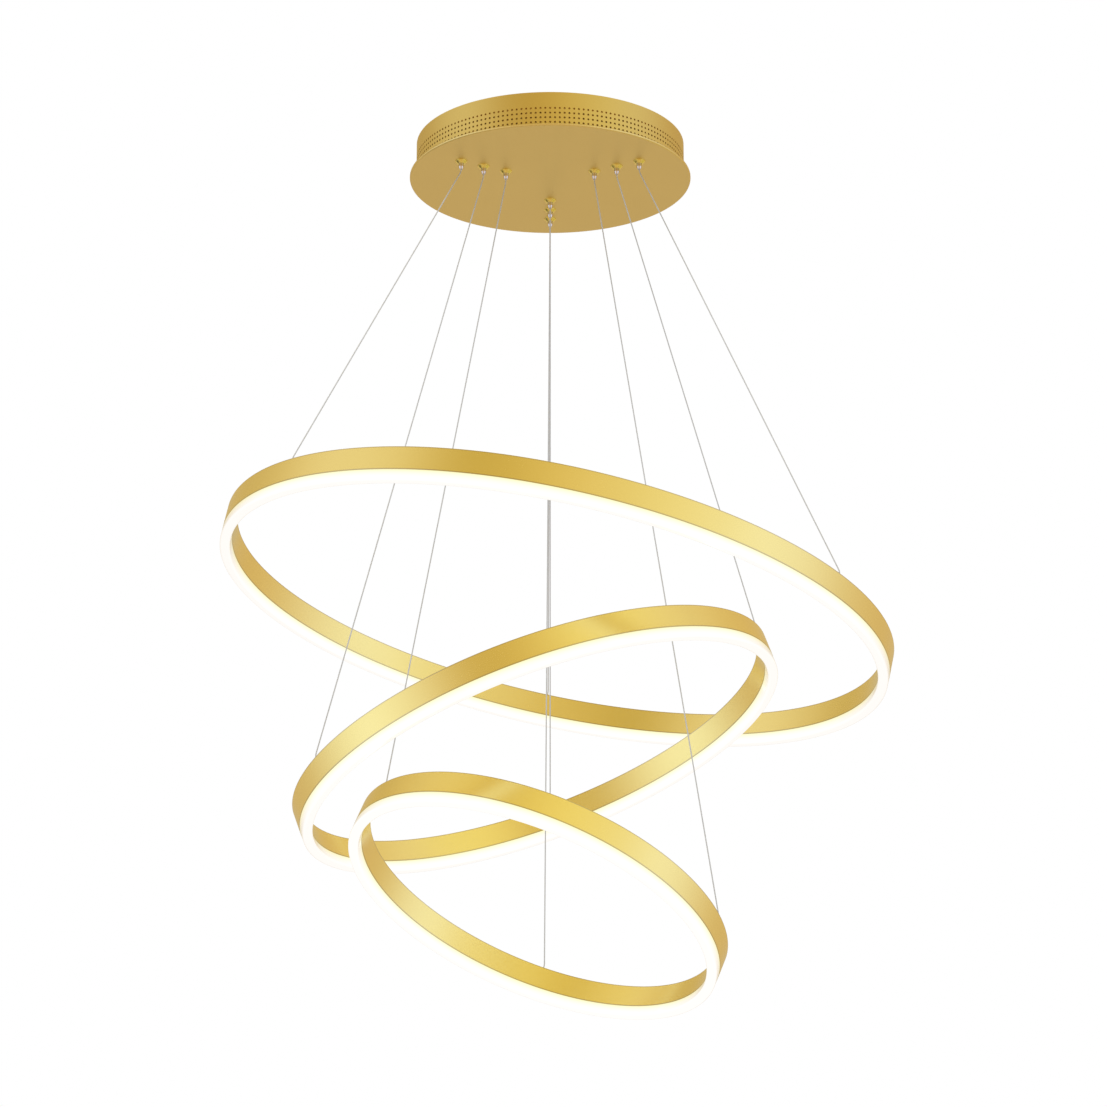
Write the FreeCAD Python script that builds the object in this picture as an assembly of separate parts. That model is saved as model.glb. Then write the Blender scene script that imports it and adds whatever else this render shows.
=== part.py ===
"""Three-ring LED chandelier, modelled piece by piece in millimetres.

The origin is the centre of the canopy on the ceiling, +Z is up and +Y points away
from the viewer. Everything hangs below the ceiling, so all heights are negative.
Each ring hangs from three thin wires, tilted its own way.
"""
import FreeCAD, Part
import math
import os
from collections import namedtuple

V = FreeCAD.Vector
X_AXIS = V(1, 0, 0)
Y_AXIS = V(0, 1, 0)
Z_AXIS = V(0, 0, 1)
ORIGIN = V(0, 0, 0)

# Small round pieces are drawn with this many sides, the large rounds are true circles
BARREL_SIDES = 8
SMALL_SIDES = 6
WIRE_SIDES = 6
THROUGH = 1.0  # how far a cutter passes each face that it goes through

# Canopy: a perforated drum that stands on a wider round plate
DRUM_R = 142.5
DRUM_FLATS = 48
SHELL_T = 1.2
CANOPY_H = 40.0
PLATE_R = 149.5
PLATE_T = 4.0
BEVEL_R = 7.0
BEVEL_H = 3.0
CANOPY_LOW = -CANOPY_H
PLATE_TOP = CANOPY_LOW + PLATE_T
WALL_INSIDE = (DRUM_R - SHELL_T) * math.cos(math.pi / DRUM_FLATS)

# Vent band: rows of small holes, each punched in one of the drum's flats
VENT_ROWS = (-18.5, -23.5, -28.5, -33.5)
VENTS_PER_ROW = 12
VENT_SIDE = 2.4

# Screws: the earth screw has a low head, the side screws are headless
SCREW_R = 2.0
SCREW_HEAD_R = 3.8
SCREW_HEAD_T = 1.4
SCREW_CLEARANCE = 0.15

# Ceiling bracket: a crossbar with two ears bent down to the drum's side screws
BRACKET_T = 2.0
BRACKET_WIDTH = 30.0
BRACKET_REACH = 140.0
EAR_H = 13.0
EAR_W = 18.0
SLOT_SPACING = 90.0
SLOT_LENGTH = 24.0
SLOT_WIDTH = 4.5
CABLE_HOLE_R = 6.0
EARTH_SCREW_X = 22.0
EARTH_SCREW_LENGTH = 4.0
SIDE_SCREW_Z = -7.5
SIDE_SCREW_LENGTH = 8.0

# Wire grippers: barrels through the plate, in three rows at 120 degrees
GRIPPER_ANGLES = (-150.0, -30.0, 90.0)
GRIPPER_RADII = (108.0, 81.0, 54.0)
BARREL_R = 4.7
BARREL_LOW = CANOPY_LOW - 3.0
BARREL_TOP = -22.0
COLLAR_R = 6.5
COLLAR_TIP_R = 4.0
POCKET_R = 2.85
POCKET_TOP = BARREL_LOW + 13.0
NIPPLE_R = 2.75
NIPPLE_TIP_R = 1.9
NIPPLE_LOW = BARREL_LOW - 6.0
NIPPLE_LENGTH = 15.5
NIPPLE_NOSE = 3.0

# Suspension wires
WIRE_R = 0.65
WIRE_BORE_R = 0.95
WIRE_BEND_R = 6.5
WIRE_SPARE = 1.0
EXIT_STRAIGHT = 2.5
END_STRAIGHT = 4.6

# Angle clips that hold the drum down on the plate, each bored for a stud
CLIP_ANGLES = (-150.0, -30.0, 90.0)
CLIP_T = 1.3
CLIP_W = 12.0
CLIP_LEG = 12.0
STUD_R = 1.5
STUD_PLACE = WALL_INSIDE - CLIP_LEG / 2 - CLIP_T

# Drivers stand on the plate between the gripper rows, with a bored tab at each end
DRIVER_ANGLES = (-90.0, 30.0, 150.0)
DRIVER_SIZE = (38.0, 98.0, 19.0)
DRIVER_PLACE = 93.0
TAB_SIZE = (19.0, 114.0, 2.0)
TAB_PLACE = 89.0
TAB_SCREW_SPACING = 106.0
TAB_SCREW_R = 1.6
TERMINAL_SIZE = (34.0, 18.0, 8.0)
TERMINAL_RIDGE = (34.0, 9.0, 13.0)

# Ring section: an upside-down channel with an opal diffuser pushed up into it
PROFILE_W = 11.0
PROFILE_H = 24.0
WALL_T = 1.2
WEB_T = 1.6
DIFFUSER_DROP = 10.8
DIFFUSER_HELD = 8.0
DIFFUSER_GAP = 0.1
DIFFUSER_FLATS = 64
LED_W = 4.0
LED_T = 1.2
LED_LENGTHS = 22
JOINER_SIZE = (1.2, 24.0, 12.0)
JOINER_DROP = 0.5
JOINER_ANGLE = 110.0
ANCHOR_R = 2.0
ANCHOR_H = 1.6

# Each ring's outer radius, centre, roll about Y, pitch about X, and where its wires meet it
Ring = namedtuple("Ring", "radius centre roll pitch anchor_angles")
RINGS = (
    Ring(350.0, V(6, 0, -507), 12.1, -4.0, (-141.0, -36.0, 92.0)),
    Ring(256.0, V(-15, 0, -653), -19.7, -7.0, (-153.0, -8.0, 85.0)),
    Ring(198.0, V(-12, 0, -813), 21.0, -15.6, (-151.0, -17.0, 90.0)),
)
WIRE_PLACES = ("left", "right", "back")


# Shared shapes

def polar(radius, angle, z=0.0):
    """Point at a radius and a plan angle in degrees."""
    a = math.radians(angle)
    return V(radius * math.cos(a), radius * math.sin(a), z)


def moved(shape, vector):
    copy = shape.copy()
    copy.translate(vector)
    return copy


def turned(shape, angle, axis=Z_AXIS):
    """Copy of a shape turned about an axis through the origin."""
    copy = shape.copy()
    copy.rotate(ORIGIN, axis, angle)
    return copy


def all_turned(shape, angles):
    return Part.makeCompound([turned(shape, a) for a in angles])


def revolved(outline):
    """Full turn about Z of a closed outline of (radius, height) points."""
    points = [V(r, 0, z) for r, z in outline]
    return Part.Face(closed(points)).revolve(ORIGIN, Z_AXIS, 360)


def closed(points):
    return Part.makePolygon(points + points[:1])


def corners(radius, sides, z):
    """Corners of a regular outline about Z that has a flat towards +X."""
    return [polar(radius, 360.0 * (i + 0.5) / sides, z) for i in range(sides)]


def polygon(radius, sides, z=0.0):
    return closed(corners(radius, sides, z))


def prism(radius, sides, bottom, top):
    return Part.Face(polygon(radius, sides, bottom)).extrude(V(0, 0, top - bottom))


def hollow_prism(inner, outer, sides, bottom, top):
    section = Part.Face(polygon(outer, sides, bottom)).cut(Part.Face(polygon(inner, sides, bottom)))
    return section.extrude(V(0, 0, top - bottom))


def tapered_prism(low_r, high_r, sides, bottom, top):
    low = corners(low_r, sides, bottom)
    high = corners(high_r, sides, top)
    walls = [closed([low[i - 1], low[i], high[i], high[i - 1]]) for i in range(sides)]
    faces = [Part.Face(outline) for outline in walls + [closed(low), closed(high)]]
    shell = Part.makeShell(faces)
    shell.sewShape()
    return Part.makeSolid(shell)


def box(size, bottom_centre):
    corner = bottom_centre - V(size[0] / 2, size[1] / 2, 0)
    return Part.makeBox(size[0], size[1], size[2], corner)


def screw(shank_r, head_r, length):
    """Screw pointing up, with the underside of its head at the origin."""
    head = prism(head_r, SMALL_SIDES, -SCREW_HEAD_T, 0)
    return head.fuse(prism(shank_r, SMALL_SIDES, 0, length))


def screw_hole(shank_r, depth):
    return prism(shank_r + SCREW_CLEARANCE, SMALL_SIDES, -THROUGH, depth + THROUGH)


# Canopy

def at_each_side(shape):
    """Two copies of an upright shape, laid along X to point in at the canopy's sides."""
    laid = moved(turned(shape, -90, Y_AXIS), V(WALL_INSIDE + SHELL_T, 0, SIDE_SCREW_Z))
    return all_turned(laid, (0, 180))


def canopy_drum():
    """Drum wall with its vent band and the two side screw holes."""
    wall = hollow_prism(DRUM_R - SHELL_T, DRUM_R, DRUM_FLATS, PLATE_TOP, 0)
    vent = Part.makeBox(SHELL_T + 2 * THROUGH, VENT_SIDE, VENT_SIDE)
    vent.translate(V(WALL_INSIDE - THROUGH, -VENT_SIDE / 2, -VENT_SIDE / 2))
    column = Part.makeCompound([moved(vent, V(0, 0, z)) for z in VENT_ROWS])
    band = all_turned(column, [360.0 * i / VENTS_PER_ROW for i in range(VENTS_PER_ROW)])
    return wall.cut([band, at_each_side(screw_hole(SCREW_R, SHELL_T))])


def canopy_plate():
    """Round plate with a bevelled rim, bored for the grippers."""
    plate = revolved([
        (0, CANOPY_LOW),
        (PLATE_R - BEVEL_R, CANOPY_LOW),
        (PLATE_R, CANOPY_LOW + BEVEL_H),
        (PLATE_R, PLATE_TOP),
        (0, PLATE_TOP),
    ])
    hole = prism(BARREL_R, BARREL_SIDES, CANOPY_LOW - THROUGH, PLATE_TOP + THROUGH)
    return plate.cut(at_each_gripper(hole))


def canopy_clips():
    """Angle clips, each with its foot on the plate and its leg against the drum."""
    profile = [
        V(WALL_INSIDE - CLIP_LEG, 0, 0),
        V(WALL_INSIDE, 0, 0),
        V(WALL_INSIDE, 0, CLIP_LEG),
        V(WALL_INSIDE - CLIP_T, 0, CLIP_LEG),
        V(WALL_INSIDE - CLIP_T, 0, CLIP_T),
        V(WALL_INSIDE - CLIP_LEG, 0, CLIP_T),
    ]
    angle = Part.Face(closed(profile)).extrude(V(0, CLIP_W, 0))
    hole = prism(STUD_R + SCREW_CLEARANCE, SMALL_SIDES, -THROUGH, CLIP_T + THROUGH)
    clip = moved(angle, V(0, -CLIP_W / 2, 0)).cut(moved(hole, V(STUD_PLACE, 0, 0)))
    return all_turned(moved(clip, V(0, 0, PLATE_TOP)), CLIP_ANGLES)


def slot(length, width, centre, depth):
    """Straight slot along X with round ends."""
    half = (length - width) / 2
    ends = [Part.makeCylinder(width / 2, depth, centre + V(s * half, 0, 0)) for s in (-1, 1)]
    return box((2 * half, width, depth), centre).fuse(ends)


def ceiling_bracket():
    """Crossbar on the ceiling, its ears bent down behind the drum's side screws."""
    bar = box((2 * BRACKET_REACH, BRACKET_WIDTH, BRACKET_T), V(0, 0, -BRACKET_T))
    ear_x = BRACKET_REACH - BRACKET_T
    ears = [box((BRACKET_T, EAR_W, EAR_H), V(s * ear_x, 0, -EAR_H)) for s in (-1, 1)]
    low = V(0, 0, -BRACKET_T - THROUGH)
    depth = BRACKET_T + 2 * THROUGH
    cutters = [
        Part.makeCylinder(CABLE_HOLE_R, depth, low),
        slot(SLOT_LENGTH, SLOT_WIDTH, low + V(SLOT_SPACING / 2, 0, 0), depth),
        slot(SLOT_LENGTH, SLOT_WIDTH, low - V(SLOT_SPACING / 2, 0, 0), depth),
        moved(screw_hole(SCREW_R, BRACKET_T), V(EARTH_SCREW_X, 0, -BRACKET_T)),
        at_each_side(screw_hole(SCREW_R, SIDE_SCREW_LENGTH)),
    ]
    return bar.fuse(ears).cut(cutters).removeSplitter()


def side_screws():
    """Headless screws, flush with the drum, that go on into the bracket's ears."""
    return at_each_side(prism(SCREW_R, SMALL_SIDES, 0, SIDE_SCREW_LENGTH))


def earth_screw():
    """Screw up into the bracket for the earth wire."""
    upright = screw(SCREW_R, SCREW_HEAD_R, EARTH_SCREW_LENGTH)
    return moved(upright, V(EARTH_SCREW_X, 0, -EARTH_SCREW_LENGTH))


def tab_screw_places():
    return [V(TAB_PLACE, s * TAB_SCREW_SPACING / 2, PLATE_TOP) for s in (-1, 1)]


def driver():
    """Driver case at plan angle 0, its long side across the radius, with end tabs."""
    case = box(DRIVER_SIZE, V(DRIVER_PLACE, 0, PLATE_TOP))
    tabs = box(TAB_SIZE, V(TAB_PLACE, 0, PLATE_TOP))
    holes = [moved(screw_hole(TAB_SCREW_R, TAB_SIZE[2]), p) for p in tab_screw_places()]
    return case.fuse(tabs).cut(holes).removeSplitter()


def terminal_block():
    """Terminal strip in the middle of the plate, with a ridge for its screws."""
    base = box(TERMINAL_SIZE, V(0, 0, PLATE_TOP))
    return base.fuse(box(TERMINAL_RIDGE, V(0, 0, PLATE_TOP))).removeSplitter()


# Grippers and their release nipples

def gripper_place(ring_index, wire_index):
    return polar(GRIPPER_RADII[ring_index], GRIPPER_ANGLES[wire_index])


def at_each_gripper(shape):
    places = [gripper_place(i, j) for i in range(3) for j in range(3)]
    return Part.makeCompound([moved(shape, p) for p in places])


def wire_grippers():
    """Barrels with a collar under the plate, a wire bore and a pocket below it for the nipple."""
    shank = prism(BARREL_R, BARREL_SIDES, CANOPY_LOW, BARREL_TOP)
    barrel = shank.fuse(tapered_prism(COLLAR_TIP_R, COLLAR_R, BARREL_SIDES, BARREL_LOW, CANOPY_LOW))
    pocket = prism(POCKET_R, SMALL_SIDES, BARREL_LOW - THROUGH, POCKET_TOP)
    bore = prism(WIRE_BORE_R, SMALL_SIDES, BARREL_LOW - THROUGH, BARREL_TOP + THROUGH)
    return at_each_gripper(barrel.cut(pocket.fuse(bore)))


def release_nipple():
    """Hollow nipple that is pressed up into its barrel to let the wire slide."""
    shoulder = NIPPLE_LOW + NIPPLE_NOSE
    top = NIPPLE_LOW + NIPPLE_LENGTH
    nose = tapered_prism(NIPPLE_TIP_R, NIPPLE_R, SMALL_SIDES, NIPPLE_LOW, shoulder)
    body = nose.fuse(prism(NIPPLE_R, SMALL_SIDES, shoulder, top))
    return body.cut(prism(WIRE_BORE_R, SMALL_SIDES, NIPPLE_LOW - THROUGH, top + THROUGH))


# Rings

def hung(shape, ring):
    """Shape made round the ring's own centre, moved to where the ring hangs."""
    roll = FreeCAD.Rotation(Y_AXIS, ring.roll)
    pitch = FreeCAD.Rotation(X_AXIS, ring.pitch)
    copy = shape.copy()
    copy.Placement = FreeCAD.Placement(ring.centre, pitch * roll).multiply(copy.Placement)
    return copy


def channel(ring):
    """Bent aluminium channel, open below."""
    outer = ring.radius
    inner = outer - PROFILE_W
    high = PROFILE_H / 2
    low = -high
    return revolved([
        (inner, low),
        (inner + WALL_T, low),
        (inner + WALL_T, high - WEB_T),
        (outer - WALL_T, high - WEB_T),
        (outer - WALL_T, low),
        (outer, low),
        (outer, high),
        (inner, high),
    ])


def diffuser(ring):
    """Opal strip between the channel's walls, standing proud below them."""
    inner = ring.radius - PROFILE_W + WALL_T + DIFFUSER_GAP
    outer = ring.radius - WALL_T - DIFFUSER_GAP
    inner_corner = inner / math.cos(math.pi / DIFFUSER_FLATS)
    low = -PROFILE_H / 2 - DIFFUSER_DROP
    high = -PROFILE_H / 2 + DIFFUSER_HELD
    return hollow_prism(inner_corner, outer, DIFFUSER_FLATS, low, high)


def led_strip(ring):
    """Flexible board under the channel's web, in straight lengths about its centre line."""
    middle = ring.radius - PROFILE_W / 2
    corner = 2 * middle / (1 + math.cos(math.pi / LED_LENGTHS))
    top = PROFILE_H / 2 - WEB_T
    return hollow_prism(corner - LED_W / 2, corner + LED_W / 2, LED_LENGTHS, top - LED_T, top)


def joiner(ring):
    """Splice plate behind the channel's inner wall, over the butt joint."""
    top = PROFILE_H / 2 - WEB_T - LED_T - JOINER_DROP
    middle = ring.radius - PROFILE_W + WALL_T + JOINER_SIZE[0] / 2
    return turned(box(JOINER_SIZE, V(middle, 0, top - JOINER_SIZE[2])), JOINER_ANGLE)


def anchors(ring):
    """Three low buttons on the channel where the wires go in."""
    button = prism(ANCHOR_R, SMALL_SIDES, PROFILE_H / 2, PROFILE_H / 2 + ANCHOR_H)
    return all_turned(moved(button, V(ring.radius - PROFILE_W / 2, 0, 0)), ring.anchor_angles)


# Suspension wires

def wire_end(ring, wire_index, height):
    """Point on a wire's last run, at a height above the channel's top."""
    point = polar(ring.radius - PROFILE_W / 2, ring.anchor_angles[wire_index], PROFILE_H / 2 + height)
    return hung(Part.Vertex(point), ring).Point


def wire_route(ring_index, wire_index):
    """Corner points: down through the gripper, straight to the ring, down onto its button."""
    ring = RINGS[ring_index]
    grip = gripper_place(ring_index, wire_index)
    return [
        grip + V(0, 0, BARREL_TOP + WIRE_SPARE),
        grip + V(0, 0, NIPPLE_LOW - EXIT_STRAIGHT),
        wire_end(ring, wire_index, ANCHOR_H + END_STRAIGHT),
        wire_end(ring, wire_index, ANCHOR_H),
    ]


def rounded_path(points, radius):
    """Straight runs joined by tangent arcs of one radius."""
    edges = []
    start = points[0]
    for before, corner, after in zip(points, points[1:], points[2:]):
        back = (before - corner).normalize()
        ahead = (after - corner).normalize()
        half_turn = (math.pi - back.getAngle(ahead)) / 2
        first = corner + back * radius * math.tan(half_turn)
        last = corner + ahead * radius * math.tan(half_turn)
        inwards = (back + ahead).normalize()
        middle = corner + inwards * (radius / math.cos(half_turn) - radius)
        edges.append(Part.LineSegment(start, first).toShape())
        edges.append(Part.Arc(first, middle, last).toShape())
        start = last
        print("  turn of %.1f degrees, radius %.1f mm" % (math.degrees(2 * half_turn), radius))
    edges.append(Part.LineSegment(start, points[-1]).toShape())
    return Part.Wire(edges)


def suspension_wire(ring_index, wire_index):
    points = wire_route(ring_index, wire_index)
    path = rounded_path(points, WIRE_BEND_R)
    section = polygon(WIRE_R, WIRE_SIDES)
    section.translate(points[0])
    wire = path.makePipeShell([section], True, False)
    expected = Part.Face(section).Area * path.Length
    print("  wire length %.1f mm, volume ratio %.4f" % (path.Length, wire.Volume / expected))
    return wire


def canopy_pieces():
    pieces = {
        "ceiling_bracket": ceiling_bracket(),
        "earth_screw": earth_screw(),
        "side_screws": side_screws(),
        "canopy_drum": canopy_drum(),
        "canopy_plate": canopy_plate(),
        "canopy_clips": canopy_clips(),
        "terminal_block": terminal_block(),
        "wire_grippers": wire_grippers(),
    }
    for i, angle in enumerate(DRIVER_ANGLES):
        pieces["led_driver_%d" % (i + 1)] = turned(driver(), angle)
    return pieces


def ring_pieces(index):
    ring = RINGS[index]
    name = "ring_%d_" % (index + 1)
    pieces = {
        name + "channel": hung(channel(ring), ring),
        name + "diffuser": hung(diffuser(ring), ring),
        name + "led_strip": hung(led_strip(ring), ring),
        name + "joiner": hung(joiner(ring), ring),
        name + "anchors": hung(anchors(ring), ring),
    }
    for j, place in enumerate(WIRE_PLACES):
        pieces[name + "wire_" + place] = suspension_wire(index, j)
        pieces[name + "release_" + place] = moved(release_nipple(), gripper_place(index, j))
    return pieces


def main():
    os.makedirs("parts", exist_ok=True)
    pieces = canopy_pieces()
    for index in range(len(RINGS)):
        pieces.update(ring_pieces(index))
    for node, shape in pieces.items():
        if not shape.isValid():
            raise ValueError(node + " is not a valid shape")
        shape.exportStep("parts/%s.step" % node)
    print("%d pieces" % len(pieces))


main()
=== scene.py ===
"""Three-ring LED chandelier: finish, wires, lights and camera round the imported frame.

Sizes are in metres, in the frame's own axes: the origin is on the ceiling at the
canopy's centre, +Z is up and +Y points away from the camera.
"""
import math
from collections import namedtuple

import bmesh
import bpy
from mathutils import Matrix, Vector


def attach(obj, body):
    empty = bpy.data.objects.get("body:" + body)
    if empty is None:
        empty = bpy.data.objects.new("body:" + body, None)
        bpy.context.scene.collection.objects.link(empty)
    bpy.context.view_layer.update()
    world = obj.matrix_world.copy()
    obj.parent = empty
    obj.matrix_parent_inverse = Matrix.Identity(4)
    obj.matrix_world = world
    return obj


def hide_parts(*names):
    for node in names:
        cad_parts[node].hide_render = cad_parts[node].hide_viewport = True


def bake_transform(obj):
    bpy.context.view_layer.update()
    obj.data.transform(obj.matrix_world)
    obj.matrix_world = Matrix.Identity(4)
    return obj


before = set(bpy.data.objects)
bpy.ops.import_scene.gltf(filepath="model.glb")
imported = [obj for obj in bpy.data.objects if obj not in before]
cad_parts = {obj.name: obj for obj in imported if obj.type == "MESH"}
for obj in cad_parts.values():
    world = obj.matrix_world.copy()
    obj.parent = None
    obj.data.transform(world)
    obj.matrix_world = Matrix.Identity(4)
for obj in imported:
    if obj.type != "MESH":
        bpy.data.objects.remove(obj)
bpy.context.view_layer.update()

# Canopy
DRUM_R = 0.1425
SHELL_T = 0.0012
CANOPY_LOW = -0.040
PLATE_TOP = -0.036
PLATE_R = 0.1495
RIM_T = 0.0025
RIM_LOW_ROUND = 0.0015
RIM_TOP_ROUND = 0.0005
SHOULDER_R = 0.144
SHOULDER_ROUND = 0.001

# Vent band, punched in columns all round the drum
VENT_R = 0.0011
VENT_SIDES = 16
VENT_PITCH = 0.0052
VENT_ROWS = 4
VENT_COLUMNS = 180
BAND_TOP = PLATE_TOP + VENT_ROWS * VENT_PITCH
# Sheet inside the vent band, a painted shade that darkens what shows through the holes
LINER_T = 0.0003
LINER_GAP = 0.0012

# Wire grippers
GRIPPER_ANGLES = (-150.0, -30.0, 90.0)
GRIPPER_RADII = (0.108, 0.081, 0.054)
BARREL_R = 0.0047
BARREL_LOW = -0.043
BARREL_TOP = -0.022
BARREL_ROUND = 0.0005
COLLAR_R = 0.0065
COLLAR_TIP_R = 0.004
COLLAR_STEP = 0.0006
COLLAR_ROUND = 0.0004
COLLAR_TIP_ROUND = 0.0006
POCKET_R = 0.00285
POCKET_TOP = -0.030
POCKET_ROUND = 0.0003
NIPPLE_R = 0.00275
NIPPLE_TIP_R = 0.0019
NIPPLE_LOW = -0.049
NIPPLE_TOP = -0.0335
NIPPLE_NOSE = 0.003
NIPPLE_TIP_ROUND = 0.0005
NIPPLE_NOSE_ROUND = 0.0015
NIPPLE_TOP_ROUND = 0.0003
WIRE_BORE_R = 0.00095
WIRE_BORE_ROUND = 0.0002

# Fasteners inside the canopy
CLIP_ANGLES = GRIPPER_ANGLES
CLIP_T = 0.0013
STUD_R = 0.0015
STUD_H = 0.006
STUD_ROUND = 0.0003
STUD_PLACE = 0.13367
NUT_R = 0.0032
NUT_H = 0.0024
LOCK_NUT_R = 0.0072
LOCK_NUT_H = 0.0035

# Drivers: two shells round a slightly smaller core, which shows as the lid line
DRIVER_ANGLES = (-90.0, 30.0, 150.0)
DRIVER_SIZE = (0.038, 0.098, 0.019)
DRIVER_PLACE = 0.093
DRIVER_BASE_H = 0.013
DRIVER_ROUND = 0.0012
LID_GAP = 0.0005
CORE_INSET = 0.0008
CORE_LIFT = 0.001
CORE_ROUND = 0.0008
TAB_SIZE = (0.019, 0.114, 0.002)
TAB_PLACE = 0.089
TAB_ROUND = 0.0006
TAB_SCREW_SPACING = 0.106
TAB_SCREW_R = 0.0028
TAB_SCREW_H = 0.0014

# Terminal block
TERMINAL_SIZE = (0.034, 0.018, 0.008)
TERMINAL_RIDGE = (0.034, 0.009, 0.013)
TERMINAL_ROUND = 0.0006
TERMINAL_POLES = 3
POLE_SCREW_R = 0.0024
POLE_SCREW_H = 0.0008

# Ring section
PROFILE_W = 0.011
PROFILE_H = 0.024
WALL_T = 0.0012
WALL_ROUND = 0.0002
WEB_T = 0.0016
WEB_ROUND = 0.0005
# Width of the painted shade line along a ring channel's top and bottom edges
EDGE_SHADE_LINE = 0.0014
DIFFUSER_DROP = 0.0108
DIFFUSER_HELD = 0.008
DIFFUSER_GAP = 0.0001
DIFFUSER_ROUND = 0.002
SHELF_ROUND = 0.0003
BUTTON_R = 0.002
BUTTON_H = 0.0016
BUTTON_ROUND = 0.0006

# Suspension wires
WIRE_D = 0.0013
WIRE_STEPS = 40
WIRE_SIDES = 10
WIRE_TOP = -0.021
EXIT_STRAIGHT = 0.0025
END_STRAIGHT = 0.003
NEAR_CORNER = 6 * WIRE_D
NEAR_END = 0.0055
UPPER_SHARE = 0.5

# Meshes
RING_SEGMENTS = 288
SMALL_SEGMENTS = 48
HEAD_SEGMENTS = 24
STUD_SEGMENTS = 16
SUPPORT_REACH = 1.5
SHARP_ANGLE = 35.0
WELD_DISTANCE = 1e-7

Ring = namedtuple("Ring", "name radius centre roll pitch anchor_angles")
RINGS = (
    Ring("ring_1", 0.350, (0.006, 0, -0.507), 12.1, -4.0, (-141.0, -36.0, 92.0)),
    Ring("ring_2", 0.256, (-0.015, 0, -0.653), -19.7, -7.0, (-153.0, -8.0, 85.0)),
    Ring("ring_3", 0.198, (-0.012, 0, -0.813), 21.0, -15.6, (-151.0, -17.0, 90.0)),
)
WIRE_PLACES = ("left", "right", "back")

# Finishes
# Colour of the painted shade line along a ring channel's edges
EDGE_SHADE_GOLD = (0.60, 0.53, 0.31, 1.0)
CLOUD_SCALE = 14.0
GRAIN_SCALE = 1800.0
GRAIN_DEPTH = 0.00004
SPECKLE_DEPTH = 0.00005
# How fast the painted gold glow on the opal fades away from the metal
GOLD_GLOW_FALLOFF = 2.5

# Studio that the metal mirrors: azimuth, elevation, sharpness, gain and colour of each patch
WHITE = (1.0, 1.0, 1.0, 1.0)
STUDIO_FILL = 0.8
STUDIO_WARM = (0.68, 0.455, 0.18, 1.0)
STUDIO_PATCHES = (
    (0, 80, 3.0, 0.9, (0.95, 0.76, 0.20, 1.0)),
    (180, -35, 3.0, 0.9, (0.70, 0.585, 0.45, 1.0)),
    (68, 0, 4.0, 1.0, (1.06, 1.09, 1.33, 1.0)),
    (-78, -4, 4.0, 1.0, (1.10, 1.13, 1.30, 1.0)),
    (-28, 30, 20.0, 0.8, (0.56, 0.385, 0.08, 1.0)),
    (30, 48, 16.0, 0.8, (1.06, 0.93, 0.42, 1.0)),
    (45, 27, 12.0, 0.6, (1.0, 0.90, 0.55, 1.0)),
    (-105, -42, 12.0, 0.95, (0.10, 0.08, 0.02, 1.0)),
    (105, -42, 12.0, 0.95, (0.62, 0.52, 0.16, 1.0)),
    (-138, 24, 12.0, 0.5, (0.54, 0.42, 0.17, 1.0)),
    (180, 14, 25.0, 0.9, (0.56, 0.53, 0.47, 1.0)),
)
FLOOR_Z = -4.5
FLOOR_HALF = 30.0

# Camera, fitted to the photograph's ellipses
CAMERA_PLACE = (0.0, -3.6426, -1.5542)
CAMERA_PITCH = 16.80
CAMERA_LENS = 119.77
CAMERA_SHIFT_X = 0.003
SENSOR = 36.0


# Geometry

def polar(radius, angle, z=0.0):
    a = math.radians(angle)
    return Vector((radius * math.cos(a), radius * math.sin(a), z))


def rounded(outline, steps=4):
    """Closed outline of (r, z, corner radius) points, with arcs in place of the corners.

    A point just outside each end of an arc keeps the flats beside it flat when shaded.
    """
    result = []
    for i, (r, z, radius) in enumerate(outline):
        corner = Vector((r, z))
        if radius == 0:
            result.append(corner)
            continue
        back = (Vector(outline[i - 1][:2]) - corner).normalized()
        ahead = (Vector(outline[(i + 1) % len(outline)][:2]) - corner).normalized()
        half = back.angle(ahead) / 2
        reach = radius / math.tan(half)
        centre = corner + (back + ahead).normalized() * radius / math.sin(half)
        first = corner + back * reach - centre
        last = corner + ahead * reach - centre
        turn = first.angle_signed(last)
        result.append(corner + back * reach * SUPPORT_REACH)
        for k in range(steps + 1):
            result.append(centre + Matrix.Rotation(-turn * k / steps, 2) @ first)
        result.append(corner + ahead * reach * SUPPORT_REACH)
    return result


def new_object(name, mesh):
    """Object in the scene, shaded smooth but for its sharp edges."""
    mesh.shade_smooth()
    mesh.set_sharp_from_angle(angle=math.radians(SHARP_ANGLE))
    piece = bpy.data.objects.new(name, mesh)
    bpy.context.scene.collection.objects.link(piece)
    return piece


def lathe(name, outline, segments):
    """Closed outline of (r, z) points turned round Z, with its height kept as an attribute."""
    count = len(outline)
    points = []
    faces = []
    for s in range(segments):
        angle = 2 * math.pi * s / segments
        points += [(r * math.cos(angle), r * math.sin(angle), z) for r, z in outline]
        here = s * count
        ahead = (s + 1) % segments * count
        for i in range(count):
            j = (i + 1) % count
            faces.append((here + i, here + j, ahead + j, ahead + i))
    mesh = bpy.data.meshes.new(name)
    mesh.from_pydata(points, [], faces)
    cleaned(mesh)
    height = mesh.attributes.new("height", "FLOAT", "POINT")
    height.data.foreach_set("value", [v.co.z for v in mesh.vertices])
    return new_object(name, mesh)


def cleaned(mesh):
    """Welds points that coincide and turns every face outwards."""
    bm = bmesh.new()
    bm.from_mesh(mesh)
    bmesh.ops.remove_doubles(bm, verts=bm.verts, dist=WELD_DISTANCE)
    bmesh.ops.dissolve_degenerate(bm, edges=bm.edges, dist=WELD_DISTANCE / 10)
    bmesh.ops.recalc_face_normals(bm, faces=bm.faces)
    bm.to_mesh(mesh)
    bm.free()


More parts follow.
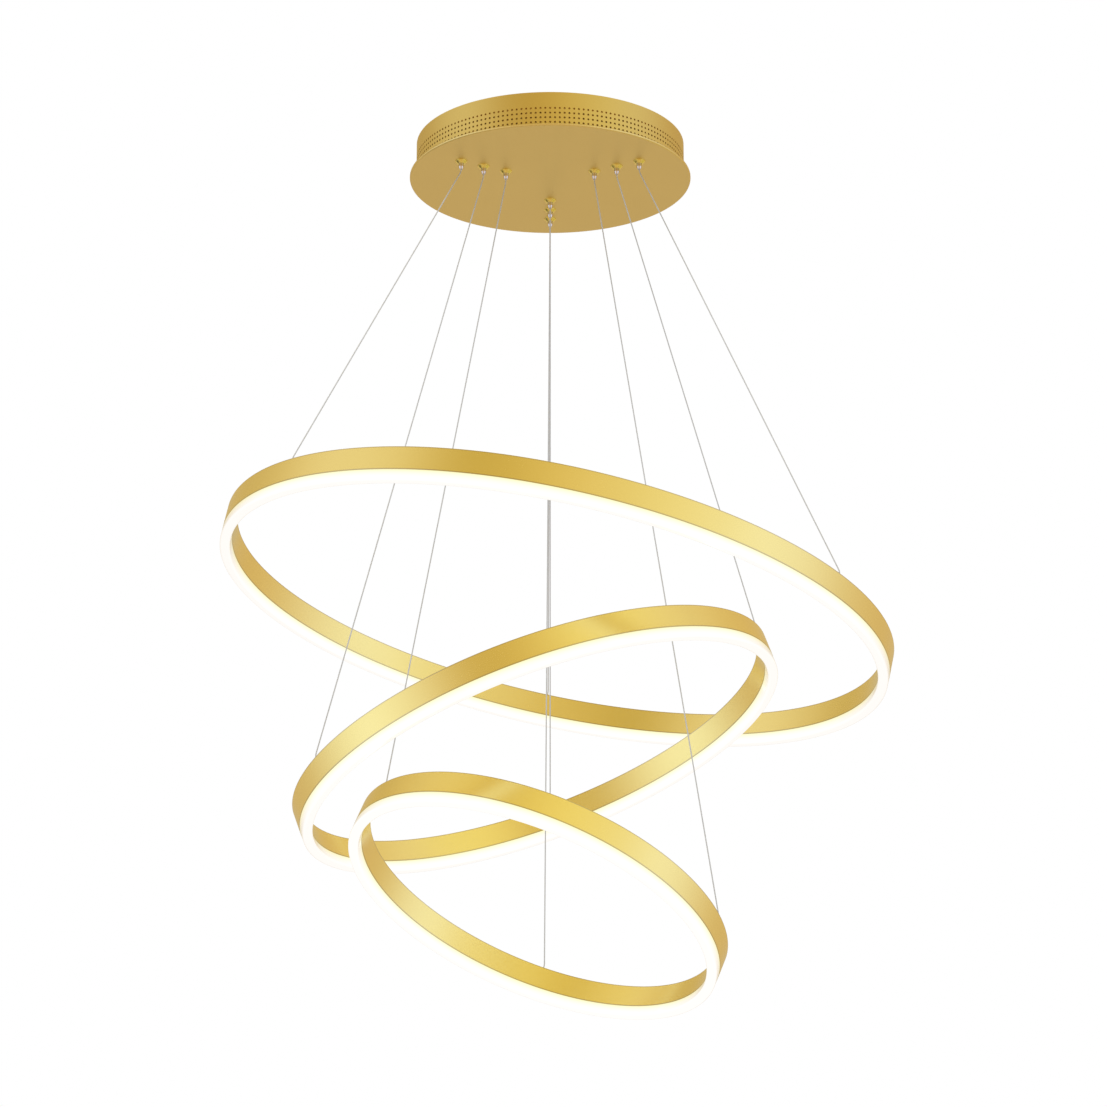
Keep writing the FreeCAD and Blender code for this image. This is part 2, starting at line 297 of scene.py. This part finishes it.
def joined(name, pieces):
    """One object out of several, with their meshes left where they are."""
    bm = bmesh.new()
    for piece in pieces:
        piece.data.transform(piece.matrix_world)
        bm.from_mesh(piece.data)
    mesh = bpy.data.meshes.new(name)
    bm.to_mesh(mesh)
    bm.free()
    for piece in pieces:
        bpy.data.objects.remove(piece)
    return new_object(name, mesh)


def ring_matrix(ring):
    """Takes a ring made flat round the origin to its place and tilt."""
    pitch = Matrix.Rotation(math.radians(ring.pitch), 4, "X")
    roll = Matrix.Rotation(math.radians(ring.roll), 4, "Y")
    return Matrix.Translation(ring.centre) @ (pitch @ roll)


def finish_piece(piece, body, slot, material, *nodes):
    """Gives a piece its material and body, and hides the nodes that it stands for."""
    piece.data.materials.clear()
    piece.data.materials.append(material)
    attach(piece, body)
    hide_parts(*nodes)


# Canopy pieces

def canopy_drum():
    """Drum wall with its punched vent band: a square of faces round each hole, plain wall above."""
    column_angle = 2 * math.pi / VENT_COLUMNS
    half_w = column_angle / 2
    half_h = VENT_PITCH / 2
    side_angle = 2 * math.pi / VENT_SIDES
    compass = [(math.cos(k * side_angle), math.sin(k * side_angle)) for k in range(VENT_SIDES)]
    slant = math.tan(side_angle)
    points = []
    faces = []

    def add(angle, z, radius):
        points.append((radius * math.cos(angle), radius * math.sin(angle), z))
        return len(points) - 1

    for column in range(VENT_COLUMNS):
        middle = column * column_angle
        steps = [middle + half_w * t for t in (-1, -slant, 0, slant, 1)]
        walls = {}
        for radius in (DRUM_R, DRUM_R - SHELL_T):
            for row in range(VENT_ROWS):
                z = PLATE_TOP + half_h + row * VENT_PITCH
                edge = []
                hole = []
                for cx, cz in compass:
                    reach = 1 / max(abs(cx), abs(cz))
                    edge.append(add(middle + cx * reach * half_w, z + cz * reach * half_h, radius))
                    hole.append(add(middle + cx * VENT_R / radius, z + cz * VENT_R, radius))
                for k in range(VENT_SIDES):
                    faces.append((edge[k - 1], edge[k], hole[k], hole[k - 1]))
                walls[radius, row] = hole
            for left, right in zip(steps, steps[1:]):
                low = [add(a, BAND_TOP, radius) for a in (left, right)]
                high = [add(a, 0, radius) for a in (right, left)]
                faces.append(low + high)
        for row in range(VENT_ROWS):
            outer = walls[DRUM_R, row]
            inner = walls[DRUM_R - SHELL_T, row]
            for k in range(VENT_SIDES):
                faces.append((outer[k - 1], outer[k], inner[k], inner[k - 1]))
        for z in (0, PLATE_TOP):
            for left, right in zip(steps, steps[1:]):
                faces.append((
                    add(left, z, DRUM_R), add(right, z, DRUM_R),
                    add(right, z, DRUM_R - SHELL_T), add(left, z, DRUM_R - SHELL_T),
                ))
    mesh = bpy.data.meshes.new("canopy_drum_vented")
    mesh.from_pydata(points, [], faces)
    cleaned(mesh)
    return new_object("canopy_drum_vented", mesh)


def canopy_plate():
    """Round plate with a thin rolled rim, thicker where the drum stands on it."""
    return lathe("canopy_plate_rimmed", rounded([
        (0, CANOPY_LOW, 0),
        (PLATE_R, CANOPY_LOW, RIM_LOW_ROUND),
        (PLATE_R, CANOPY_LOW + RIM_T, RIM_TOP_ROUND),
        (SHOULDER_R, PLATE_TOP, SHOULDER_ROUND),
        (0, PLATE_TOP, 0),
    ], steps=8), RING_SEGMENTS)


def gripper_barrel():
    """Threaded barrel through the plate, with a domed collar under it."""
    return lathe("barrel", rounded([
        (WIRE_BORE_R, POCKET_TOP, 0),
        (POCKET_R, POCKET_TOP, 0),
        (POCKET_R, BARREL_LOW, POCKET_ROUND),
        (COLLAR_TIP_R, BARREL_LOW, COLLAR_TIP_ROUND),
        (COLLAR_R, CANOPY_LOW - COLLAR_STEP, COLLAR_ROUND),
        (COLLAR_R, CANOPY_LOW, 0),
        (BARREL_R, CANOPY_LOW, 0),
        (BARREL_R, BARREL_TOP, BARREL_ROUND),
        (WIRE_BORE_R, BARREL_TOP, 0),
    ]), SMALL_SEGMENTS)


def release_nipple():
    """Chrome nipple with a tapered nose, which the wire leaves."""
    return lathe("nipple", rounded([
        (WIRE_BORE_R, NIPPLE_LOW, WIRE_BORE_ROUND),
        (NIPPLE_TIP_R, NIPPLE_LOW, NIPPLE_TIP_ROUND),
        (NIPPLE_R, NIPPLE_LOW + NIPPLE_NOSE, NIPPLE_NOSE_ROUND),
        (NIPPLE_R, NIPPLE_TOP, NIPPLE_TOP_ROUND),
        (WIRE_BORE_R, NIPPLE_TOP, 0),
    ]), SMALL_SEGMENTS)


def gripper_place(ring_index, wire_index):
    return polar(GRIPPER_RADII[ring_index], GRIPPER_ANGLES[wire_index])


def vent_shade_liner():
    """Brown sheet just inside the vent band: painted shade, darkening what shows through the vent holes.
    """
    outer = DRUM_R - SHELL_T - LINER_GAP
    inner = outer - LINER_T
    return lathe("vent_shade_liner", [
        (inner, PLATE_TOP),
        (outer, PLATE_TOP),
        (outer, BAND_TOP),
        (inner, BAND_TOP),
    ], RING_SEGMENTS // 2)


def hex_nut(radius, bore, height):
    """Nut standing on z = 0, its corners taken off at the top."""
    chamfer_z = height * 0.85
    top_radius = radius * 0.9
    bm = bmesh.new()
    rings = []
    for r, z in ((radius, 0), (radius, chamfer_z), (top_radius, height)):
        rings.append([bm.verts.new(polar(r, 60 * k, z)) for k in range(6)])
    for low, high in zip(rings, rings[1:]):
        for k in range(6):
            bm.faces.new((low[k - 1], low[k], high[k], high[k - 1]))
    holes = [[bm.verts.new(polar(bore, 60 * k, z)) for k in range(6)] for z in (0, height)]
    for outline, hole in ((rings[0], holes[0]), (rings[-1], holes[1])):
        for k in range(6):
            bm.faces.new((outline[k - 1], outline[k], hole[k], hole[k - 1]))
    for k in range(6):
        bm.faces.new((holes[0][k - 1], holes[0][k], holes[1][k], holes[1][k - 1]))
    mesh = bpy.data.meshes.new("nut")
    bm.to_mesh(mesh)
    bm.free()
    cleaned(mesh)
    return new_object("nut", mesh)


def pan_head(radius, height):
    """Low screw head with a round dimple for its driver."""
    crown_round = height * 0.6
    dimple_r = radius * 0.4
    dimple_floor_r = radius * 0.3
    dimple_floor = height * 0.4
    return lathe("head", rounded([
        (0, 0, 0),
        (radius, 0, 0),
        (radius, height, crown_round),
        (dimple_r, height, 0),
        (dimple_floor_r, dimple_floor, 0),
        (0, dimple_floor, 0),
    ]), HEAD_SEGMENTS)


def rounded_box(size, bottom_centre, fillet):
    """Box of a full size, standing on a point, with all its edges rounded."""
    middle = Vector(bottom_centre) + Vector((0, 0, size[2] / 2))
    bm = bmesh.new()
    bmesh.ops.create_cube(bm, size=1.0)
    for v in bm.verts:
        v.co = Vector(v.co[k] * size[k] for k in range(3)) + middle
    bmesh.ops.bevel(bm, geom=bm.edges, offset=fillet, segments=3, affect="EDGES", profile=0.5)
    mesh = bpy.data.meshes.new("box")
    bm.to_mesh(mesh)
    bm.free()
    return new_object("box", mesh)


def led_driver(index):
    """Moulded case with a lid line, and a tab at each end."""
    width, length, height = DRIVER_SIZE
    lid_low = DRIVER_BASE_H + LID_GAP
    core = (width - CORE_INSET, length - CORE_INSET, height - 2 * CORE_LIFT)
    base = (width, length, DRIVER_BASE_H)
    lid = (width, length, height - lid_low)
    parts = [
        rounded_box(base, (DRIVER_PLACE, 0, PLATE_TOP), DRIVER_ROUND),
        rounded_box(core, (DRIVER_PLACE, 0, PLATE_TOP + CORE_LIFT), CORE_ROUND),
        rounded_box(lid, (DRIVER_PLACE, 0, PLATE_TOP + lid_low), DRIVER_ROUND),
        rounded_box(TAB_SIZE, (TAB_PLACE, 0, PLATE_TOP), TAB_ROUND),
    ]
    case = joined("driver_%d" % (index + 1), parts)
    case.data.transform(Matrix.Rotation(math.radians(DRIVER_ANGLES[index]), 4, "Z"))
    return case


def terminal_strip():
    """Block with a narrower ridge that the pole screws stand on."""
    return joined("terminal_strip", [
        rounded_box(TERMINAL_SIZE, (0, 0, PLATE_TOP), TERMINAL_ROUND),
        rounded_box(TERMINAL_RIDGE, (0, 0, PLATE_TOP), TERMINAL_ROUND),
    ])


def moved(piece, place, angle=0.0):
    """The piece shifted to a place, then turned round Z."""
    turn = Matrix.Rotation(math.radians(angle), 4, "Z")
    piece.data.transform(turn @ Matrix.Translation(place))
    return piece


def canopy_fasteners():
    """Studs and nuts on the clips, lock nuts on the grippers, screws in tabs and terminals."""
    parts = []
    for angle in CLIP_ANGLES:
        stud = lathe("stud", rounded([
            (0, PLATE_TOP, 0),
            (STUD_R, PLATE_TOP, 0),
            (STUD_R, PLATE_TOP + STUD_H, STUD_ROUND),
            (0, PLATE_TOP + STUD_H, 0),
        ]), STUD_SEGMENTS)
        nut = hex_nut(NUT_R, STUD_R, NUT_H)
        parts.append(moved(stud, (STUD_PLACE, 0, 0), angle))
        parts.append(moved(nut, (STUD_PLACE, 0, PLATE_TOP + CLIP_T), angle))
    for i in range(len(RINGS)):
        for j in range(len(WIRE_PLACES)):
            nut = hex_nut(LOCK_NUT_R, BARREL_R, LOCK_NUT_H)
            parts.append(moved(nut, gripper_place(i, j) + Vector((0, 0, PLATE_TOP))))
    for angle in DRIVER_ANGLES:
        for end in (-1, 1):
            place = (TAB_PLACE, end * TAB_SCREW_SPACING / 2, PLATE_TOP + TAB_SIZE[2])
            parts.append(moved(pan_head(TAB_SCREW_R, TAB_SCREW_H), place, angle))
    for pole in range(TERMINAL_POLES):
        x = (pole - (TERMINAL_POLES - 1) / 2) * TERMINAL_SIZE[0] / TERMINAL_POLES
        place = (x, 0, PLATE_TOP + TERMINAL_RIDGE[2])
        parts.append(moved(pan_head(POLE_SCREW_R, POLE_SCREW_H), place))
    return joined("canopy_fasteners", parts)


# Ring pieces

def channel(ring):
    """Gold channel, open below."""
    outer = ring.radius
    inner = outer - PROFILE_W
    high = PROFILE_H / 2
    return lathe(ring.name + "_channel_bent", rounded([
        (inner, -high, WALL_ROUND),
        (inner + WALL_T, -high, WALL_ROUND),
        (inner + WALL_T, high - WEB_T, 0),
        (outer - WALL_T, high - WEB_T, 0),
        (outer - WALL_T, -high, WALL_ROUND),
        (outer, -high, WALL_ROUND),
        (outer, high, WEB_ROUND),
        (inner, high, WEB_ROUND),
    ]), RING_SEGMENTS)


def diffuser(ring):
    """Opal band held between the channel's walls, and flush with them below its edges."""
    outer = ring.radius - DIFFUSER_GAP
    inner = ring.radius - PROFILE_W + DIFFUSER_GAP
    low = -PROFILE_H / 2 - DIFFUSER_DROP
    shelf = -PROFILE_H / 2 - DIFFUSER_GAP
    high = -PROFILE_H / 2 + DIFFUSER_HELD
    return lathe(ring.name + "_diffuser_opal", rounded([
        (inner, low, DIFFUSER_ROUND),
        (outer, low, DIFFUSER_ROUND),
        (outer, shelf, SHELF_ROUND),
        (outer - WALL_T, shelf, 0),
        (outer - WALL_T, high, 0),
        (inner + WALL_T, high, 0),
        (inner + WALL_T, shelf, 0),
        (inner, shelf, SHELF_ROUND),
    ]), RING_SEGMENTS)


def wire_button(ring, angle):
    """Small button on top of the ring, which the wire goes into."""
    top = PROFILE_H / 2
    button = lathe("button", rounded([
        (WIRE_D / 2, top, 0),
        (BUTTON_R, top, 0),
        (BUTTON_R, top + BUTTON_H, BUTTON_ROUND),
        (WIRE_D / 2, top + BUTTON_H, 0),
    ]), HEAD_SEGMENTS)
    button.data.transform(Matrix.Translation(polar(ring.radius - PROFILE_W / 2, angle)))
    return button


# Wires

def wire_route(ring_index, wire_index):
    """Points: through the gripper, straight to the ring, and down onto its button."""
    ring = RINGS[ring_index]
    grip = gripper_place(ring_index, wire_index)
    foot = polar(ring.radius - PROFILE_W / 2, ring.anchor_angles[wire_index], PROFILE_H / 2 + BUTTON_H)
    place = ring_matrix(ring)
    exit_corner = grip + Vector((0, 0, NIPPLE_LOW - EXIT_STRAIGHT))
    end_corner = place @ (foot + Vector((0, 0, END_STRAIGHT)))
    run = (end_corner - exit_corner).normalized()
    return [
        grip + Vector((0, 0, WIRE_TOP)),
        grip + Vector((0, 0, NIPPLE_LOW + NEAR_CORNER - EXIT_STRAIGHT)),
        exit_corner,
        exit_corner + run * NEAR_CORNER,
        end_corner - run * NEAR_END,
        end_corner,
        place @ foot,
    ]


def smooth_line(points):
    """Points read from the smooth spline that the route's points control."""
    curve = bpy.data.curves.new("route", "CURVE")
    curve.dimensions = "3D"
    curve.resolution_u = WIRE_STEPS
    spline = curve.splines.new("NURBS")
    spline.points.add(len(points) - 1)
    for target, point in zip(spline.points, points):
        target.co = (*point, 1)
    spline.order_u = 3
    spline.use_endpoint_u = True
    holder = bpy.data.objects.new("route", curve)
    bpy.context.scene.collection.objects.link(holder)
    mesh = bpy.data.meshes.new_from_object(holder)
    line = [v.co.copy() for v in mesh.vertices]
    bpy.data.objects.remove(holder)
    bpy.data.meshes.remove(mesh)
    return line


def tube(name, line, radius, sides):
    """Round tube along a line, capped at both ends."""
    points = []
    faces = []
    side_way = (line[1] - line[0]).orthogonal().normalized()
    for i, centre in enumerate(line):
        along = (line[min(i + 1, len(line) - 1)] - line[max(i - 1, 0)]).normalized()
        side_way = (side_way - along * side_way.dot(along)).normalized()
        other_way = along.cross(side_way)
        for k in range(sides):
            a = 2 * math.pi * k / sides
            points.append(centre + (side_way * math.cos(a) + other_way * math.sin(a)) * radius)
    for i in range(len(line) - 1):
        for k in range(sides):
            here = i * sides + k
            beside = i * sides + (k + 1) % sides
            faces.append((here, beside, beside + sides, here + sides))
    faces.append(list(range(sides))[::-1])
    faces.append([len(points) - sides + k for k in range(sides)])
    mesh = bpy.data.meshes.new(name)
    mesh.from_pydata(points, [], faces)
    cleaned(mesh)
    return new_object(name, mesh)


def line_length(line):
    return sum((b - a).length for a, b in zip(line, line[1:]))


def split_line(line, share):
    """The line in two, at its first point past a share of its length."""
    goal = share * line_length(line)
    run = 0
    for i in range(1, len(line)):
        run += (line[i] - line[i - 1]).length
        if run >= goal:
            break
    return line[:i + 1], line[i:]


def suspension_wire(ring_index, wire_index, material):
    """Two stretches, the upper and the lower, each a tube along its share of the route."""
    ring = RINGS[ring_index]
    node = "%s_wire_%s" % (ring.name, WIRE_PLACES[wire_index])
    carrier = ring.name + "_wires"
    upper, lower = split_line(smooth_line(wire_route(ring_index, wire_index)), UPPER_SHARE)
    nipple_end = upper[0] + Vector((0, 0, NIPPLE_LOW - WIRE_TOP))
    stretches = (
        ("upper", upper, "canopy", carrier, nipple_end),
        ("lower", lower, carrier, ring.name, lower[0]),
    )
    for name, line, above, below, start in stretches:
        piece = tube("%s_%s" % (node, name), line, WIRE_D / 2, WIRE_SIDES)
        piece.data.materials.append(material)
        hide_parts(node)
        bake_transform(piece)


# Materials

def linear(red, green, blue):
    """Colour from 0 to 255 values as the screen shows them."""
    def one(value):
        v = value / 255
        return v / 12.92 if v <= 0.04045 else ((v + 0.055) / 1.055) ** 2.4
    return one(red), one(green), one(blue), 1.0


class Nodes:
    """A node tree with a few short ways to add and join its nodes."""

    def __init__(self, tree):
        self.tree = tree

    def add(self, kind, **values):
        node = self.tree.nodes.new("ShaderNode" + kind)
        for key, value in values.items():
            setattr(node, key, value)
        return node

    def join(self, source, socket):
        """Links an output to a socket, or sets the socket to a colour."""
        if isinstance(source, tuple):
            socket.default_value = source
        else:
            self.tree.links.new(source, socket)

    def mixed(self, factor, first, second):
        """Blend of two colours, each either a value or the output of another node."""
        node = self.add("Mix", data_type="RGBA")
        self.join(first, node.inputs[6])
        self.join(second, node.inputs[7])
        self.join(factor, node.inputs["Factor"])
        return node.outputs[2]


class Shader(Nodes):
    """A new node material, with its textures and its surface."""

    def __init__(self, name):
        self.material = bpy.data.materials.new(name)
        self.material.use_nodes = True
        super().__init__(self.material.node_tree)
        self.surface = self.tree.nodes["Principled BSDF"]

    def set(self, **values):
        for key, value in values.items():
            self.surface.inputs[key.replace("_", " ")].default_value = value

    def noise(self, scale, detail=2.0):
        place = self.add("TexCoord")
        noise = self.add("TexNoise")
        noise.inputs["Scale"].default_value = scale
        noise.inputs["Detail"].default_value = detail
        self.join(place.outputs["Object"], noise.inputs["Vector"])
        return noise.outputs["Fac"]

    def mapped(self, value, low, high, start=0.0, end=1.0):
        """The value taken from start and end to low and high, and held between them."""
        node = self.add("MapRange")
        node.inputs["From Min"].default_value = start
        node.inputs["From Max"].default_value = end
        node.inputs["To Min"].default_value = low
        node.inputs["To Max"].default_value = high
        self.join(value, node.inputs["Value"])
        return node.outputs["Result"]

    def bump(self, value, strength, distance):
        node = self.add("Bump")
        node.inputs["Strength"].default_value = strength
        node.inputs["Distance"].default_value = distance
        self.join(value, node.inputs["Height"])
        self.join(node.outputs["Normal"], self.surface.inputs["Normal"])


def satin_gold(name, deep, light, rough, edge_shaded=False):
    """Champagne gold with fine grain, faint clouding and a satin gloss.

    Where its edges are shaded, a painted shade line, darker and duller, runs along the top and bottom
    edges of a ring's channel.
    """
    shader = Shader(name)
    shader.set(Metallic=1.0)
    colour = shader.mixed(shader.noise(CLOUD_SCALE), deep, light)
    if edge_shaded:
        height = shader.add("Attribute", attribute_name="height")
        away = shader.add("Math", operation="ABSOLUTE")
        shader.join(height.outputs["Fac"], away.inputs[0])
        edge = PROFILE_H / 2
        # Painted shade: the gold turns darker and duller near the channel's top and bottom edges
        line = shader.mapped(away.outputs[0], 0, 1, edge - EDGE_SHADE_LINE, edge - EDGE_SHADE_LINE / 2)
        colour = shader.mixed(line, colour, EDGE_SHADE_GOLD)
    shader.join(colour, shader.surface.inputs["Base Color"])
    grain = shader.noise(GRAIN_SCALE, 3.0)
    shader.join(shader.mapped(grain, rough - 0.03, rough + 0.05), shader.surface.inputs["Roughness"])
    shader.bump(grain, 0.02, GRAIN_DEPTH)
    return shader.material


def chrome():
    """Bright plate with faint smudges."""
    shader = Shader("chrome_plate")
    shader.set(Metallic=1.0)
    smudge = shader.noise(600.0)
    colour = shader.mixed(smudge, linear(200, 192, 188), linear(228, 222, 218))
    shader.join(colour, shader.surface.inputs["Base Color"])
    shader.join(shader.mapped(smudge, 0.06, 0.16), shader.surface.inputs["Roughness"])
    return shader.material


def opal():
    """Opal silicone lit from inside, with a clear outer skin; beside the metal its glow is painted pale
    yellow, a painted spill of light off the gold.
    """
    shader = Shader("opal_silicone")
    height = shader.add("Attribute", attribute_name="height")
    metal = -PROFILE_H / 2
    nearness = shader.mapped(height.outputs["Fac"], 0, 1, metal - DIFFUSER_DROP, metal)
    # Painted light: the glow turns pale yellow close to the gold channel
    warm = shader.add("Math", operation="POWER")
    warm.inputs[1].default_value = GOLD_GLOW_FALLOFF
    shader.join(nearness, warm.inputs[0])
    glow = shader.mixed(warm.outputs[0], linear(255, 255, 255), linear(255, 250, 192))
    shader.join(glow, shader.surface.inputs["Emission Color"])
    shader.set(Base_Color=(0.02, 0.02, 0.018, 1), Emission_Strength=1.02)
    shader.set(Coat_Weight=1.0, Coat_Roughness=0.12, Coat_IOR=1.5)
    speckle = shader.noise(900.0)
    shader.join(shader.mapped(speckle, 0.5, 0.6), shader.surface.inputs["Roughness"])
    shader.bump(speckle, 0.05, SPECKLE_DEPTH)
    return shader.material


def steel_wire():
    """Fine stranded wire in a clear sleeve: grey, mottled along its length."""
    shader = Shader("steel_wire")
    shader.set(Metallic=0.15)
    strands = shader.noise(2200.0, 1.0)
    colour = shader.mixed(strands, (0.54, 0.55, 0.565, 1), (0.68, 0.69, 0.705, 1))
    shader.join(colour, shader.surface.inputs["Base Color"])
    shader.join(shader.mapped(strands, 0.28, 0.42), shader.surface.inputs["Roughness"])
    return shader.material


def plain(name, deep, light, rough, metallic=0.0, scale=300.0):
    """Sheet metal or moulded plastic, with a fine mottle and grain."""
    shader = Shader(name)
    shader.set(Metallic=metallic)
    mottle = shader.noise(scale, 4.0)
    shader.join(shader.mixed(mottle, deep, light), shader.surface.inputs["Base Color"])
    shader.join(shader.mapped(mottle, rough - 0.06, rough + 0.06), shader.surface.inputs["Roughness"])
    shader.bump(mottle, 0.05, SPECKLE_DEPTH)
    return shader.material


# Stage

def direction(azimuth, elevation):
    """Unit vector; azimuth 0 is behind the camera and 90 is to its right."""
    a = math.radians(azimuth)
    e = math.radians(elevation)
    return math.sin(a) * math.cos(e), -math.cos(a) * math.cos(e), math.sin(e)


def studio_world():
    """White studio; what the metal mirrors is warm, with a white softbox to each side."""
    world = bpy.data.worlds.new("studio")
    bpy.context.scene.world = world
    world.use_nodes = True
    nodes = Nodes(world.node_tree)
    nodes.tree.nodes.clear()

    def lobe(towards, sharpness, gain):
        """Soft round patch of light: gain * e ** (sharpness * (cosine - 1))."""
        dot = nodes.add("VectorMath", operation="DOT_PRODUCT")
        nodes.join(way, dot.inputs[0])
        dot.inputs[1].default_value = towards
        scaled = nodes.add("Math", operation="MULTIPLY_ADD")
        nodes.join(dot.outputs["Value"], scaled.inputs[0])
        scaled.inputs[1].default_value = sharpness
        scaled.inputs[2].default_value = -sharpness
        power = nodes.add("Math", operation="EXPONENT")
        nodes.join(scaled.outputs[0], power.inputs[0])
        product = nodes.add("Math", operation="MULTIPLY", use_clamp=True)
        nodes.join(power.outputs[0], product.inputs[0])
        product.inputs[1].default_value = gain
        return product.outputs[0]

    def background(colour, strength):
        node = nodes.add("Background")
        node.inputs["Strength"].default_value = strength
        nodes.join(colour, node.inputs["Color"])
        return node.outputs[0]

    way = nodes.add("TexCoord").outputs["Generated"]
    mirrored = STUDIO_WARM
    for azimuth, elevation, sharpness, gain, patch in STUDIO_PATCHES:
        share = lobe(direction(azimuth, elevation), sharpness, gain)
        mirrored = nodes.mixed(share, mirrored, patch)

    path = nodes.add("LightPath")
    lit = nodes.add("MixShader")
    nodes.join(path.outputs["Is Glossy Ray"], lit.inputs["Fac"])
    nodes.join(background(WHITE, STUDIO_FILL), lit.inputs[1])
    nodes.join(background(mirrored, 1.0), lit.inputs[2])
    shown = nodes.add("MixShader")
    nodes.join(path.outputs["Is Camera Ray"], shown.inputs["Fac"])
    nodes.join(lit.outputs[0], shown.inputs[1])
    nodes.join(background(WHITE, 1.0), shown.inputs[2])
    nodes.join(shown.outputs[0], nodes.add("OutputWorld").inputs["Surface"])


def floor():
    """Plain pale floor, far below and out of the metal's reflections."""
    corners = ((-1, -1), (1, -1), (1, 1), (-1, 1))
    mesh = bpy.data.meshes.new("floor")
    mesh.from_pydata([(x * FLOOR_HALF, y * FLOOR_HALF, FLOOR_Z) for x, y in corners], [], [(0, 1, 2, 3)])
    piece = bpy.data.objects.new("floor", mesh)
    bpy.context.scene.collection.objects.link(piece)
    pale = plain("pale_floor", linear(236, 236, 234), linear(242, 242, 240), 0.8, scale=3.0)
    mesh.materials.append(pale)
    piece.visible_glossy = False


def area_light(name, place, target, size, power):
    """Rectangular white light aimed at a point, out of the metal's reflections."""
    data = bpy.data.lights.new(name, "AREA")
    data.shape = "RECTANGLE"
    data.size, data.size_y = size
    data.energy = power
    lamp = bpy.data.objects.new(name, data)
    lamp.location = place
    lamp.rotation_euler = (Vector(target) - Vector(place)).to_track_quat("-Z", "Y").to_euler()
    lamp.visible_glossy = False
    bpy.context.scene.collection.objects.link(lamp)


def camera():
    data = bpy.data.cameras.new("camera")
    data.sensor_width = SENSOR
    data.lens = CAMERA_LENS
    data.shift_x = CAMERA_SHIFT_X
    holder = bpy.data.objects.new("camera", data)
    holder.location = CAMERA_PLACE
    holder.rotation_euler = (math.radians(90 + CAMERA_PITCH), 0, 0)
    bpy.context.scene.collection.objects.link(holder)
    bpy.context.scene.camera = holder


# Assembly

def add_wires():
    steel = steel_wire()
    for i in range(len(RINGS)):
        for j in range(len(WIRE_PLACES)):
            suspension_wire(i, j, steel)


def add_grippers(plated):
    """Nine barrels as one piece, and nine nipples that each ride on their own body."""
    bright = chrome()
    barrels = []
    for i, ring in enumerate(RINGS):
        for j, side in enumerate(WIRE_PLACES):
            place = Matrix.Translation(gripper_place(i, j))
            barrel = gripper_barrel()
            barrel.data.transform(place)
            barrels.append(barrel)
            nipple = release_nipple()
            nipple.name = "%s_nipple_%s" % (ring.name, side)
            nipple.data.transform(place)
            node = "%s_release_%s" % (ring.name, side)
            finish_piece(nipple, node, "chrome", bright, node)
    finish_piece(joined("gripper_barrels", barrels), "canopy", "gold_fittings", plated, "wire_grippers")


def add_rings(plated):
    """Channel, diffuser and wire buttons of each ring."""
    # The ring gold carries painted shade lines along its top and bottom edges
    gold = satin_gold("satin_gold", (0.90, 0.78, 0.29, 1), (0.94, 0.82, 0.33, 1), 0.25, edge_shaded=True)
    glowing = opal()
    for ring in RINGS:
        buttons = joined(ring.name + "_wire_buttons", [wire_button(ring, a) for a in ring.anchor_angles])
        made = (
            (channel(ring), "gold_aluminium", gold, "channel"),
            (diffuser(ring), "opal", glowing, "diffuser"),
            (buttons, "gold_fittings", plated, "anchors"),
        )
        for piece, slot, material, node in made:
            piece.data.transform(ring_matrix(ring))
            finish_piece(piece, ring.name, slot, material, "%s_%s" % (ring.name, node))


def repaint(material, *nodes):
    """Gives a material to nodes that stay as they are."""
    for node in nodes:
        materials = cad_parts[node].data.materials
        materials.clear()
        materials.append(material)


def add_canopy():
    """Drum with its side screws, and the plate under it."""
    paint = satin_gold("gold_paint", (0.70, 0.545, 0.165, 1), (0.73, 0.57, 0.175, 1), 0.42)
    plate_gold = satin_gold("plate_gold", (0.80, 0.65, 0.26, 1), (0.83, 0.68, 0.275, 1), 0.40)
    finish_piece(canopy_drum(), "canopy", "gold_paint", paint, "canopy_drum")
    finish_piece(canopy_plate(), "canopy", "gold_aluminium", plate_gold, "canopy_plate")
    repaint(paint, "side_screws")


def add_hidden_parts():
    """What the canopy and the rings hold inside."""
    # Painted shade: a brown sheet behind the vent holes stands in for the dark inside of the canopy
    screen = plain("vent_shade_screen", (0.78, 0.45, 0.10, 1), (0.86, 0.51, 0.13, 1), 0.8)
    zinc = plain("zinc_sheet", linear(168, 170, 174), linear(190, 192, 196), 0.38, 1.0)
    brass = plain("brass", linear(200, 160, 80), linear(214, 176, 96), 0.3, 1.0)
    mill = plain("mill_aluminium", linear(190, 192, 196), linear(206, 208, 210), 0.4, 1.0)
    housing = plain("driver_housing", linear(232, 232, 228), linear(240, 240, 236), 0.5)
    terminal = plain("terminal_plastic", linear(226, 224, 214), linear(236, 234, 226), 0.45)
    board = plain("led_board", linear(240, 238, 226), linear(246, 244, 236), 0.5)
    finish_piece(vent_shade_liner(), "canopy", "gold_paint", screen)
    finish_piece(canopy_fasteners(), "canopy", "zinc_steel", zinc)
    finish_piece(terminal_strip(), "canopy", "terminal_plastic", terminal, "terminal_block")
    for i in range(len(DRIVER_ANGLES)):
        finish_piece(led_driver(i), "canopy", "driver_plastic", housing, "led_driver_%d" % (i + 1))
    repaint(zinc, "ceiling_bracket", "canopy_clips")
    repaint(brass, "earth_screw")
    repaint(board, *[ring.name + "_led_strip" for ring in RINGS])
    repaint(mill, *[ring.name + "_joiner" for ring in RINGS])


camera()
add_wires()
gold_plating = satin_gold("gold_plating", (0.86, 0.74, 0.24, 1), (0.90, 0.80, 0.30, 1), 0.14)
add_canopy()
add_grippers(gold_plating)
add_rings(gold_plating)
add_hidden_parts()

studio_world()
floor()
area_light("overhead", place=(-1.5, -1.0, 2.5), target=(0, 0, -0.3), size=(2.0, 2.0), power=40)
bpy.context.scene.view_settings.view_transform = "Standard"
